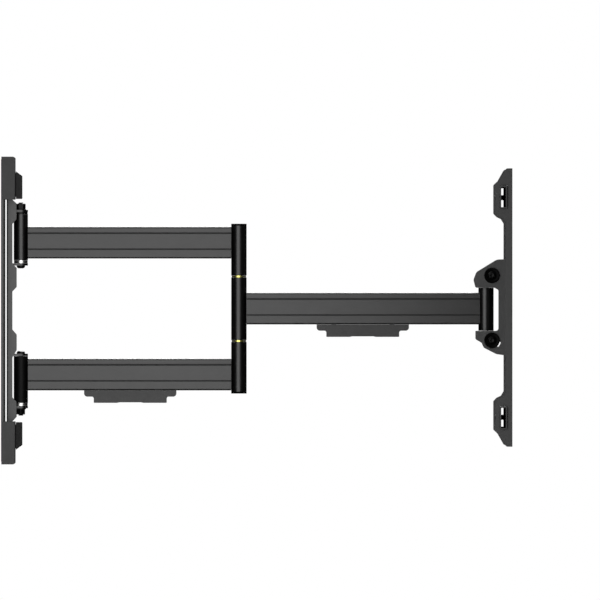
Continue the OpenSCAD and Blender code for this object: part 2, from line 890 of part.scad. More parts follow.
screw_y = 11;
screw_z = [73.6, -56];
screw_r = 3;

module tilt_bracket() {
    color(powder_grey)
        difference() {
            union() {
                for (low = [-cheek_in - cheek_t, cheek_in])
                    upright(low, low + cheek_t)
                        difference() {
                            polygon(rounded(cheek_outline));
                            crescent();
                        }
                block([rail_front - tilt_web_t, -cheek_in - 1, cheek_bottom],
                    [rail_front, cheek_in + 1, cheek_top]);
            }
            block([rail_front - tilt_web_t - cut, -cheek_in, head_window_low],
                [rail_front + cut, cheek_in, head_window_high]);
            for (z = [tilt_z, tilt_z + tilt_rise])
                rod_y(bolt_r + seat, tilt_x, z, -cheek_in - cheek_t - cut, cheek_in + cheek_t + cut);
            for (y = [-screw_y, screw_y], z = screw_z)
                rod_x(screw_r + seat, y, z, rail_front - tilt_web_t - cut, rail_front + cut);
        }
}

cheek_out = cheek_in + cheek_t;
cap_out = cheek_out + cap_washer_t;
tilt_nut_h = 6.5;
tilt_thread = 1;
socket_hex = 5;
socket_depth = 3;

module tilt_bolt(z) {
    color(zinc_black)
        difference() {
            union() {
                rod_y(bolt_r, tilt_x, z, -cap_out, cap_out + tilt_nut_h + tilt_thread);
                rod_y(head_r, tilt_x, z, -cap_out - head_h, -cap_out);
            }
            translate([tilt_x, socket_depth - cap_out - head_h, z])
                rotate([90, 0, 0])
                    linear_extrude(socket_depth + cut)
                        hexagon(socket_hex);
        }
}

module tilt_pivot_bolt() {
    tilt_bolt(tilt_z);
}

module tilt_lock_bolt() {
    tilt_bolt(tilt_z + tilt_rise);
}

module tilt_cap_washers() {
    color(powder_black)
        for (z = [tilt_z, tilt_z + tilt_rise], low = [-cap_out, cheek_out])
            ring_y(tilt_x, z, cap_r, bolt_r + fit, low, low + cap_washer_t);
}

module tilt_nuts() {
    color(zinc_black)
        for (z = [tilt_z, tilt_z + tilt_rise])
            nut_y(tilt_x, z, cap_out, tilt_nut_h, nut_af, bolt_r + seat);
}

module tilt_friction_discs() {
    color(nylon_white)
        for (z = [tilt_z, tilt_z + tilt_rise], low = [-cheek_in, fork_out + gap])
            ring_y(tilt_x, z, disc_r, bolt_r + fit, low, low + cheek_in - fork_out - gap);
}

// Centre plate that ties the two rails to the tilting bracket
rail_bolt_y = 45;
centre_half_w = 62;
centre_half_h = rail_off + 20;
centre_corner = 10;
window_corner = 6;
ear_windows = [[92, 142], [-132, -84]];
ear_window_half = 34;

function round_rect(half_w, low, high, r) = rounded([[-half_w, low, r], [half_w, low, r], [half_w, high, r],
    [-half_w, high, r]]);

module centre_window(low, high, half_w) {
    along_x(rail_front - cut, plate_front + cut)
        polygon(round_rect(half_w, low, high, window_corner));
}

module centre_plate() {
    color(powder_grey)
        difference() {
            along_x(rail_front, plate_front)
                polygon(round_rect(centre_half_w, head_z - centre_half_h, head_z + centre_half_h,
                    centre_corner));
            centre_window(head_window_low, head_window_high + 2, cheek_in);
            for (w = ear_windows)
                centre_window(w[0], w[1], ear_window_half);
            for (y = [-screw_y, screw_y], z = screw_z)
                rod_x(screw_r + seat, y, z, rail_front - cut, plate_front + cut);
            for (y = [-rail_bolt_y, rail_bolt_y], z = [-1, 1])
                rod_x(bolt_r + seat, y, head_z + z * rail_off, rail_front - cut, plate_front + cut);
        }
}

screw_nut_h = 4;
screw_nut_af = 10;
screw_head_r = 5.5;
screw_head_h = 2.8;
thread_over = 0.5;

module centre_plate_screws() {
    color(zinc_black)
        for (y = [-screw_y, screw_y], z = screw_z) {
            rod_x(screw_r, y, z, rail_front - tilt_web_t - screw_nut_h - thread_over, plate_front);
            rod_x(screw_head_r, y, z, plate_front, plate_front + screw_head_h);
        }
}

module centre_plate_nuts() {
    color(zinc_black)
        for (y = [-screw_y, screw_y], z = screw_z)
            nut_x(y, z, rail_front - tilt_web_t - screw_nut_h, screw_nut_h, screw_nut_af, screw_r + seat);
}

module rail(z) {
    color(powder_grey)
        difference() {
            block([rail_back, -rail_len / 2, z - rail_h / 2], [rail_front, rail_len / 2, z + rail_h / 2]);
            block([rail_back + rail_wall, -rail_len / 2 - cut, z - rail_h / 2 + rail_wall],
                [rail_front - rail_wall, rail_len / 2 + cut, z + rail_h / 2 - rail_wall]);
            for (y = [-rail_bolt_y, rail_bolt_y])
                rod_x(bolt_r + seat, y, z, rail_back - cut, rail_front + cut);
        }
}

module upper_rail() {
    rail(head_z + rail_off);
}

module lower_rail() {
    rail(head_z - rail_off);
}

rail_nut_h = 5;
rail_head_h = 3;

module rail_bolts() {
    color(zinc_black)
        for (y = [-rail_bolt_y, rail_bolt_y], z = [-1, 1]) {
            rod_x(bolt_r, y, head_z + z * rail_off, rail_back - rail_nut_h - thread_over, plate_front);
            rod_x(head_r, y, head_z + z * rail_off, plate_front, plate_front + rail_head_h);
        }
}

module rail_nuts() {
    color(zinc_black)
        for (y = [-rail_bolt_y, rail_bolt_y], z = [-1, 1])
            nut_x(y, head_z + z * rail_off, rail_back - rail_nut_h, rail_nut_h, nut_af, bolt_r + seat);
}

// TV bracket: a shallow channel with an ear at each end that rides on a rail
bracket_back = tv_x - bracket_depth;
bracket_half = bracket_h / 2;
ear_upper = [[bracket_back, 130.5, 3], [tv_x - 14.2, 137.5, 3], [tv_x - 21, 140.8, 4],
    [tv_x - ear_depth, 146, 3], [tv_x - ear_depth, 190.6, 3], [tv_x - 19.6, 196.6, 4],
    [tv_x - 9.5, bracket_half, 4], [tv_x, bracket_half, 0]];
bracket_side = concat(flip_z(ear_upper), ear_upper);
window_gap = 0.5;
lock_tab_t = 3;
lock_tab_half = 9;
lock_r = 3;
lock_sink = 0.2;
lock_hex = 3;
lock_socket = 2.2;
hole_step = 50;
slot_step = 60;

module tv_bracket(y_mid) {
    color(powder_grey)
        translate([0, y_mid, head_z])
            difference() {
                union() {
                    block([tv_x - bracket_t, -bracket_w / 2, -bracket_half],
                        [tv_x, bracket_w / 2, bracket_half]);
                    for (low = [-bracket_w / 2, bracket_w / 2 - bracket_t])
                        upright(low, low + bracket_t)
                            polygon(rounded(bracket_side));
                    for (z = [-1, 1])
                        block([tv_x - ear_depth, -bracket_w / 2, z * rail_off - lock_tab_half],
                            [tv_x - ear_depth + lock_tab_t, bracket_w / 2, z * rail_off + lock_tab_half]);
                }
                for (z = [-1, 1]) {
                    block([rail_back - window_gap, -bracket_w, z * rail_off - rail_h / 2 - window_gap],
                        [rail_front + window_gap, bracket_w, z * rail_off + rail_h / 2 + window_gap]);
                    rod_x(lock_r + seat, 0, z * rail_off, tv_x - ear_depth - cut,
                        tv_x - ear_depth + lock_tab_t + cut);
                }
                for (z = [-1, 1], i = [0 : 2])
                    rod_x(tv_hole_r, 0, z * (vesa_h / 2 - i * hole_step), tv_x - bracket_t - cut,
                        tv_x + cut);
                for (i = [-1 : 1])
                    bracket_slot(i * slot_step);
            }
}

module bracket_slot(z) {
    slot_r = 4;
    slot_half = 18;
    block([tv_x - bracket_t - cut, -slot_r, z - slot_half], [tv_x + cut, slot_r, z + slot_half]);
    for (s = [-1, 1])
        rod_x(slot_r, 0, z + s * slot_half, tv_x - bracket_t - cut, tv_x + cut);
}

module tv_bracket_left() {
    tv_bracket(-vesa_w / 2);
}

module tv_bracket_right() {
    tv_bracket(vesa_w / 2);
}

module lock_screws(y) {
    color(zinc_black)
        for (z = [-1, 1])
            difference() {
                rod_x(lock_r, y, head_z + z * rail_off, tv_x - ear_depth + lock_sink, rail_back - gap);
                translate([tv_x - ear_depth - cut, y, head_z + z * rail_off])
                    rotate([90, 0, 90])
                        linear_extrude(cut + lock_sink + lock_socket)
                            hexagon(lock_hex);
            }
}

module left_lock_screws() {
    lock_screws(-vesa_w / 2);
}

module right_lock_screws() {
    lock_screws(vesa_w / 2);
}

wall_plate();
hinge_channel();
channel_spacers();
channel_rivets();
upper_clevis();
lower_clevis();
top_cover();
bottom_cover();
shoulder_bolts();
shoulder_nuts();
shoulder_steel_washers();
shoulder_thrust_washers();
upper_shoulder_barrel();
lower_shoulder_barrel();
shoulder_bushings();
upper_rear_arm();
lower_rear_arm();
rear_cable_clip();
elbow_sleeve_top();
elbow_sleeve_bottom();
elbow_pin();
elbow_nut();
elbow_cap_top();
elbow_cap_bottom();
elbow_rear_bushings();
elbow_thrust_washers();
elbow_sleeve_middle();
elbow_middle_bushings();
forearm();
front_cable_clip();
head_knuckle();
knuckle_bushings();
swivel_yoke();
swivel_bolt();
swivel_nut();
swivel_thrust_washers();
tilt_bracket();
tilt_pivot_bolt();
tilt_lock_bolt();
tilt_cap_washers();
tilt_nuts();
tilt_friction_discs();
centre_plate();
centre_plate_screws();
centre_plate_nuts();
upper_rail();
lower_rail();
rail_bolts();
rail_nuts();
tv_bracket_left();
tv_bracket_right();
left_lock_screws();
right_lock_screws();
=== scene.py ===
"""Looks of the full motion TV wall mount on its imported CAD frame. Metres, +X from the wall, +Z up."""
import json
import math

import bmesh
import bpy
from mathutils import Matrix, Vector


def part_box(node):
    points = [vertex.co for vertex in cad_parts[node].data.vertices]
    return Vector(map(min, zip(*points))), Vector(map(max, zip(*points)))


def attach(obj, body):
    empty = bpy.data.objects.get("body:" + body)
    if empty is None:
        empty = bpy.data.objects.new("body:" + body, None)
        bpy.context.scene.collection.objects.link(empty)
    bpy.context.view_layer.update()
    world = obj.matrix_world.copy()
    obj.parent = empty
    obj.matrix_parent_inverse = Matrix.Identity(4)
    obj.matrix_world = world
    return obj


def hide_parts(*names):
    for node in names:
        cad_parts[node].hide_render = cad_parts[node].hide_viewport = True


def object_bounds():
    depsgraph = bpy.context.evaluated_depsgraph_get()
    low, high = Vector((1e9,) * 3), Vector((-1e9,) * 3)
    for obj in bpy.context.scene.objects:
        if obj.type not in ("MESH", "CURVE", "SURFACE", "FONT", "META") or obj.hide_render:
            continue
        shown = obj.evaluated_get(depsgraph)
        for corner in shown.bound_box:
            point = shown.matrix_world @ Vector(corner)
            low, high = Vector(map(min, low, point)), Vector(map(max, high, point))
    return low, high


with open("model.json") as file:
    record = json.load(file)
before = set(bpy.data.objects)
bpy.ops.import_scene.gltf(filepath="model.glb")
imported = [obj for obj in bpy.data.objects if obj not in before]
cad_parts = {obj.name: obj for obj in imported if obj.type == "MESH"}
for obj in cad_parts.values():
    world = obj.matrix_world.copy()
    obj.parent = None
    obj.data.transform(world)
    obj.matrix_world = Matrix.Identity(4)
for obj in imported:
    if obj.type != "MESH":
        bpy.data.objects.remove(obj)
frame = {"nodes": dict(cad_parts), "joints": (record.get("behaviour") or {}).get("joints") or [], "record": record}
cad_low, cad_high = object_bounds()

MM = 0.001
scene = bpy.context.scene
record = frame["record"]
joint_x = {j["name"]: j["pos_m"][0] for j in frame["joints"] if j["type"] == "hinge"}
SHOULDER_X = joint_x["shoulder_swing"]
KNUCKLE_X = joint_x["head_swivel"]
slot_of = {part["node"]: part["material_slot"] for part in record["subparts"]}
body_of = {node: body for body, nodes in record["behaviour"]["bodies"].items() for node in nodes}


# ---------------------------------------------------------------- materials

# A Mix node's colour sockets and its colour output, by number.
COLOUR_A, COLOUR_B, MIXED = 6, 7, 2

# How far a rounded normal leans from the true one where an edge begins and where it is full.
EDGE_BEGINS, EDGE_FULL = 0.995, 0.85

# Where a colour ramp over noise has its two ends.
RAMP_LOW, RAMP_HIGH = 0.3, 0.7


def grey(value, tint=0.0):
    """A grey, bluer with a positive tint and browner with a negative one."""
    return (value * (1 - tint), value, value * (1 + 1.5 * tint))


def scaled(colour, factor):
    return [c * factor for c in colour]


class Nodes:
    """Short names for making and joining the nodes of one material."""

    def __init__(self, name):
        self.material = bpy.data.materials.new(name)
        self.material.use_nodes = True
        self.tree = self.material.node_tree
        self.tree.nodes.clear()
        self.out = self.add("ShaderNodeOutputMaterial")
        self.shader = self.add("ShaderNodeBsdfPrincipled")
        self.join(self.shader, "BSDF", self.out, "Surface")
        self.place = self.add("ShaderNodeTexCoord")

    def add(self, kind, **values):
        """Makes a node and sets its properties, or else its sockets, of the names given."""
        node = self.tree.nodes.new(kind)
        for key, value in values.items():
            if hasattr(node, key):
                setattr(node, key, value)
            else:
                node.inputs[key.replace("_", " ")].default_value = value
        return node

    def join(self, a, output, b, socket):
        self.tree.links.new(a.outputs[output], b.inputs[socket])

    def noise(self, per_metre, detail, stretch=None):
        """Noise in the object's own metres; stretch pulls it out along an axis, as turning does."""
        node = self.add("ShaderNodeTexNoise", Scale=per_metre, Detail=detail, Roughness=0.55)
        if stretch:
            mapping = self.add("ShaderNodeMapping")
            mapping.inputs["Scale"].default_value = stretch
            self.join(self.place, "Object", mapping, "Vector")
            self.join(mapping, "Vector", node, "Vector")
        else:
            self.join(self.place, "Object", node, "Vector")
        return node

    def ramp(self, noise, low, high, start=RAMP_LOW, end=RAMP_HIGH):
        """Colours the noise from low to high."""
        node = self.add("ShaderNodeValToRGB")
        for element, at, colour in zip(node.color_ramp.elements, (start, end), (low, high)):
            element.position = at
            element.color = (*colour, 1)
        self.join(noise, "Fac", node, "Fac")
        return node

    def drift(self, noise, colour, low, high):
        """One colour that wanders between low and high times itself."""
        return self.ramp(noise, scaled(colour, low), scaled(colour, high))

    def spread(self, noise, low, high):
        """Maps the noise's 0..1 to low..high."""
        node = self.add("ShaderNodeMapRange", To_Min=low, To_Max=high)
        self.join(noise, "Fac", node, "Value")
        return node

    def roughness(self, noise, low, high):
        self.join(self.spread(noise, low, high), "Result", self.shader, "Roughness")

    def bump(self, source, output, depth, before=None):
        """Relief of a depth in metres, on top of an earlier relief where one is given."""
        node = self.add("ShaderNodeBump", Strength=1.0, Distance=depth)
        self.join(source, output, node, "Height")
        if before:
            self.join(before, "Normal", node, "Normal")
        self.join(node, "Normal", self.shader, "Normal")
        return node

    def multiply(self, a, b):
        """The product of two ramps' colours."""
        node = self.add("ShaderNodeMix", data_type="RGBA", blend_type="MULTIPLY")
        node.inputs["Factor"].default_value = 1.0
        self.join(a, "Color", node, COLOUR_A)
        self.join(b, "Color", node, COLOUR_B)
        return node

    def edge_mask(self, radius):
        """1 on an outer or inner edge and 0 on a flat face, from how far a rounded normal leans."""
        rounded = self.add("ShaderNodeBevel", samples=4, Radius=radius)
        true = self.add("ShaderNodeNewGeometry")
        dot = self.add("ShaderNodeVectorMath", operation="DOT_PRODUCT")
        self.join(rounded, "Normal", dot, 0)
        self.join(true, "Normal", dot, 1)
        mask = self.add("ShaderNodeMapRange", From_Min=EDGE_BEGINS, From_Max=EDGE_FULL)
        self.join(dot, "Value", mask, "Value")
        return mask

    def rub_edges(self, source, output, rubbed, radius, patches, most):
        """Gives the shader the source's colour, worn in patches to the rubbed one along its edges."""
        node = self.add("ShaderNodeMix", data_type="RGBA")
        amount = self.add("ShaderNodeMath", operation="MULTIPLY")
        self.join(self.edge_mask(radius), "Result", amount, 0)
        self.join(self.spread(patches, 0.0, most), "Result", amount, 1)
        self.join(amount, "Value", node, "Factor")
        self.join(source, output, node, COLOUR_A)
        node.inputs[COLOUR_B].default_value = (*rubbed, 1)
        self.join(node, MIXED, self.shader, "Base Color")


def powder_coat(name, colour, roughness, specular, wear=0.25):
    """Thermoset powder coat: orange peel, a fine sparkle, and slightly lighter where edges wear."""
    n = Nodes(name)
    n.shader.inputs["Specular IOR Level"].default_value = specular
    body = n.drift(n.noise(14, 4), colour, 0.93, 1.07)
    grain = n.noise(2600, 2)
    toned = n.multiply(body, n.ramp(grain, grey(0.86), grey(1.12), 0.35, 0.65))
    worn = [c * 2.6 + 0.02 for c in colour]
    n.rub_edges(toned, MIXED, worn, 0.5 * MM, n.noise(420, 3), wear)
    n.roughness(n.noise(60, 3), roughness - 0.04, roughness + 0.04)
    peel = n.bump(n.noise(520, 2), "Fac", 0.05 * MM)
    n.bump(grain, "Fac", 0.012 * MM, peel)
    return n.material


def moulded(name, colour, roughness, specular):
    """Injection-moulded plastic with a spark-eroded grain and faint flow marks."""
    n = Nodes(name)
    n.shader.inputs["Specular IOR Level"].default_value = specular
    body = n.drift(n.noise(22, 3, stretch=(1, 1, 0.35)), colour, 0.92, 1.08)
    n.join(body, "Color", n.shader, "Base Color")
    n.roughness(n.noise(90, 2), roughness - 0.05, roughness + 0.05)
    pits = n.add("ShaderNodeTexVoronoi", Scale=1500.0)
    n.join(n.place, "Object", pits, "Vector")
    n.bump(pits, "Distance", 0.02 * MM)
    return n.material


def zinc_black(name, colour, roughness):
    """Black zinc plate on steel: a fine grain, a slight brown-blue drift and rubbed edges."""
    n = Nodes(name)
    n.shader.inputs["Specular IOR Level"].default_value = 0.12
    body = n.ramp(n.noise(120, 3), grey(colour, 0.05), grey(colour * 1.5, -0.05))
    n.rub_edges(body, "Color", grey(0.14), 0.3 * MM, n.noise(900, 2), 0.6)
    n.roughness(n.noise(400, 3), roughness - 0.06, roughness + 0.08)
    n.bump(n.noise(1800, 3), "Fac", 0.008 * MM)
    return n.material


def turned_metal(name, colour, roughness):
    """Bright turned metal: fine rings round its axis, a slow drift and specks of tarnish."""
    n = Nodes(name)
    n.shader.inputs["Metallic"].default_value = 1.0
    body = n.drift(n.noise(90, 3), colour, 0.9, 1.06)
    spots = n.noise(1400, 2)
    toned = n.multiply(body, n.ramp(spots, grey(0.55), grey(1.0), 0.3, 0.42))
    n.join(toned, MIXED, n.shader, "Base Color")
    n.roughness(spots, roughness + 0.05, roughness - 0.05)
    n.bump(n.noise(500, 2, stretch=(0.15, 0.15, 5)), "Fac", 0.006 * MM)
    return n.material


def nylon(name, colour, roughness):
    """Machined nylon: a little light passes into it, with faint turning rings."""
    n = Nodes(name)
    n.shader.inputs["Subsurface Weight"].default_value = 0.15
    n.shader.inputs["Subsurface Radius"].default_value = (0.002, 0.002, 0.0016)
    body = n.drift(n.noise(150, 3), colour, 0.95, 1.0)
    n.join(body, "Color", n.shader, "Base Color")
    n.roughness(n.noise(300, 2), roughness - 0.05, roughness + 0.05)
    n.bump(n.noise(600, 2, stretch=(0.2, 0.2, 4)), "Fac", 0.015 * MM)
    return n.material


MATERIALS = {
    "plate_coat": powder_coat("plate_coat", grey(0.032), 0.42, 0.4),
    "channel_coat": powder_coat("channel_coat", grey(0.028), 0.34, 0.36),
    "cover_plastic": moulded("cover_plastic", grey(0.018), 0.5, 0.3),
    "arm_coat": powder_coat("arm_coat", grey(0.012), 0.3, 0.38),
    "barrel_coat": powder_coat("barrel_coat", grey(0.0006), 0.33, 0.48, wear=0.02),
    "clip_plastic": moulded("clip_plastic", grey(0.02), 0.48, 0.35),
    "black_zinc": zinc_black("black_zinc", 0.001, 0.34),
    "cap_plastic": moulded("cap_plastic", grey(0.0008), 0.42, 0.03),
    "white_nylon": nylon("white_nylon", grey(0.86), 0.45),
    "bright_steel": turned_metal("bright_steel", (0.62, 0.62, 0.6), 0.3),
    "pale_brass": turned_metal("pale_brass", (0.6, 0.56, 0.16), 0.3),
    "head_coat": powder_coat("head_coat", grey(0.032), 0.46, 0.35),
}
# A duller copy of the barrel coat with almost no highlight, for the lower shoulder barrel alone: painted shade, so
# that it comes out darker than the upper barrel.
SHADED_BARREL_COPY = powder_coat("shaded_barrel_copy", grey(0.001), 0.5, 0.1, wear=0.05)


# ---------------------------------------------------------------- carried-over CAD nodes

# Degrees between two faces: smooth below the first, rounded off above the second.
SHARP_ABOVE = 36
EASED_ABOVE = 32

WELD_GAP = 0.005 * MM
FLAT_WITHIN = math.radians(0.5)
BEVEL_SEGMENTS = 3


def modifier_group(name):
    """A geometry node group with one mesh in and one mesh out, not joined yet."""
    group = bpy.data.node_groups.new(name, "GeometryNodeTree")
    for way in ("INPUT", "OUTPUT"):
        group.interface.new_socket("Geometry", in_out=way, socket_type="NodeSocketGeometry")
    return group, group.nodes.new("NodeGroupInput"), group.nodes.new("NodeGroupOutput")


def greater_than(group, limit):
    node = group.nodes.new("FunctionNodeCompare")
    node.data_type = "FLOAT"
    node.operation = "GREATER_THAN"
    node.inputs[1].default_value = limit
    return node


def float_switch(group, otherwise):
    node = group.nodes.new("GeometryNodeSwitch")
    node.input_type = "FLOAT"
    node.inputs["False"].default_value = otherwise
    return node


def shading_group():
    """Shades smooth across shallow angles and sharp across steep ones."""
    group, start, end = modifier_group("shade_by_angle")
    forget = group.nodes.new("GeometryNodeRemoveAttribute")
    forget.inputs["Name"].default_value = "custom_normal"
    smooth = group.nodes.new("GeometryNodeSetShadeSmooth")
    sharp = group.nodes.new("GeometryNodeSetShadeSmooth")
    sharp.domain = "EDGE"
    sharp.inputs["Shade Smooth"].default_value = False
    bend = group.nodes.new("GeometryNodeInputMeshEdgeAngle")
    steep = greater_than(group, math.radians(SHARP_ABOVE))
    join = group.links.new
    join(start.outputs[0], forget.inputs["Geometry"])
    join(forget.outputs["Geometry"], smooth.inputs["Geometry"])
    join(smooth.outputs["Geometry"], sharp.inputs["Geometry"])
    join(bend.outputs["Unsigned Angle"], steep.inputs[0])
    join(steep.outputs["Result"], sharp.inputs["Selection"])
    join(sharp.outputs["Geometry"], end.inputs[0])
    return group


def weighting_group(name, long_mm, short_weight):
    """Gives long sharp edges a full bevel weight, and short ones, as round a hole, a small one."""
    group, start, end = modifier_group(name)
    ends = group.nodes.new("GeometryNodeInputMeshEdgeVertices")
    span = group.nodes.new("ShaderNodeVectorMath")
    span.operation = "DISTANCE"
    bend = group.nodes.new("GeometryNodeInputMeshEdgeAngle")
    is_long = greater_than(group, long_mm * MM)
    is_sharp = greater_than(group, math.radians(EASED_ABOVE))
    by_length = float_switch(group, short_weight)
    by_length.inputs["True"].default_value = 1.0
    by_angle = float_switch(group, 0.0)
    store = group.nodes.new("GeometryNodeStoreNamedAttribute")
    store.data_type = "FLOAT"
    store.domain = "EDGE"
    store.inputs["Name"].default_value = "bevel_weight_edge"
    join = group.links.new
    join(ends.outputs["Position 1"], span.inputs[0])
    join(ends.outputs["Position 2"], span.inputs[1])
    join(span.outputs["Value"], is_long.inputs[0])
    join(bend.outputs["Unsigned Angle"], is_sharp.inputs[0])
    join(is_long.outputs["Result"], by_length.inputs["Switch"])
    join(is_sharp.outputs["Result"], by_angle.inputs["Switch"])
    join(by_length.outputs["Output"], by_angle.inputs["True"])
    join(start.outputs[0], store.inputs["Geometry"])
    join(by_angle.outputs["Output"], store.inputs["Value"])
    join(store.outputs["Geometry"], end.inputs[0])
    return group


SHADE = shading_group()
WEIGHTS = weighting_group("bevel_weights", 1.9, 0.25)
FINE_WEIGHTS = weighting_group("fine_bevel_weights", 0.9, 0.3)
FINE_SLOTS = ("cover_plastic", "clip_plastic", "channel_coat")

# Width of the rounded edges on each slot, in millimetres.
EASE = {
    "plate_coat": 1.0,
    "channel_coat": 1.0,
    "head_coat": 1.1,
    "cover_plastic": 1.3,
    "clip_plastic": 1.2,
    "barrel_coat": 0.5,
    "cap_plastic": 0.9,
    "white_nylon": 0.3,
    "bright_steel": 0.3,
    "pale_brass": 0.3,
    "black_zinc": 0.3,
    "arm_coat": 0.3,
}


def shade_by_angle(obj):
    """Sets smooth and sharp edges, and lets large faces set the normals, so flat sheet stays flat."""
    obj.modifiers.new("shade", "NODES").node_group = SHADE
    level = obj.modifiers.new("level", "WEIGHTED_NORMAL")
    level.mode = "FACE_AREA"
    level.weight = 100
    level.keep_sharp = True


def ease_edges(obj, width, weights):
    """Joins the CAD mesh's split corners, clears its flat faces of triangles and rounds its edges."""
    weld = obj.modifiers.new("weld", "WELD")
    weld.merge_threshold = WELD_GAP
    flat = obj.modifiers.new("flat", "DECIMATE")
    flat.decimate_type = "DISSOLVE"
    flat.angle_limit = FLAT_WITHIN
    obj.modifiers.new("weights", "NODES").node_group = weights
    bevel = obj.modifiers.new("bevel", "BEVEL")
    bevel.limit_method = "WEIGHT"
    bevel.width = width
    bevel.segments = BEVEL_SEGMENTS
    bevel.use_clamp_overlap = True
    shade_by_angle(obj)


for name, obj in frame["nodes"].items():
    slot = slot_of[name]
    obj.data.materials.clear()
    # The lower shoulder barrel takes the duller copy of the barrel coat: painted shade.
    obj.data.materials.append(SHADED_BARREL_COPY if name == "lower_shoulder_barrel" else MATERIALS[slot])
    ease_edges(obj, EASE[slot] * MM, FINE_WEIGHTS if slot in FINE_SLOTS else WEIGHTS)


# ---------------------------------------------------------------- fasteners, in millimetres

STEPS = 72
PITCH = 1.25
THREAD_DEPTH = 0.6 * PITCH
THREAD_STATIONS = 6

BOLT_R = 4
BUTTON_R = 6.5
BUTTON_H = 4.4
BUTTON_SOCKET = 5.0
SWIVEL_HEAD_R = 7
SHOULDER_BARE = 70
SWIVEL_BARE = 66
TILT_BARE = 40

NUT_FLATS = 13
SHOULDER_NUT_H = 8
TILT_NUT_H = 6.5
COLLAR_H = 2.0
BORE_CHAMFER = 0.4

WASHER_H = 1.6
CAP_ROLL = 1.1
CAP_RECESS = 0.9
CAP_PLAY = 0.1

RIVET_HEAD_R = 5.5
RIVET_SHANK_R = 2.9

# A domed head's profile: shares of its radius and of its height, from the crown outwards.
DOMED_HEAD = ((0.62, 1.0), (0.8, 0.9), (0.93, 0.66), (1.0, 0.3))


def radians(*degrees):
    return [math.radians(d) for d in degrees]


def hexagon(flats, most=None):
    """Radius of a hexagon at an angle, cut off at a circle where one is given."""
    def radius(angle):
        across = flats / 2 / math.cos(angle % (math.pi / 3) - math.pi / 6)
        return min(across, most) if most else across
    return radius


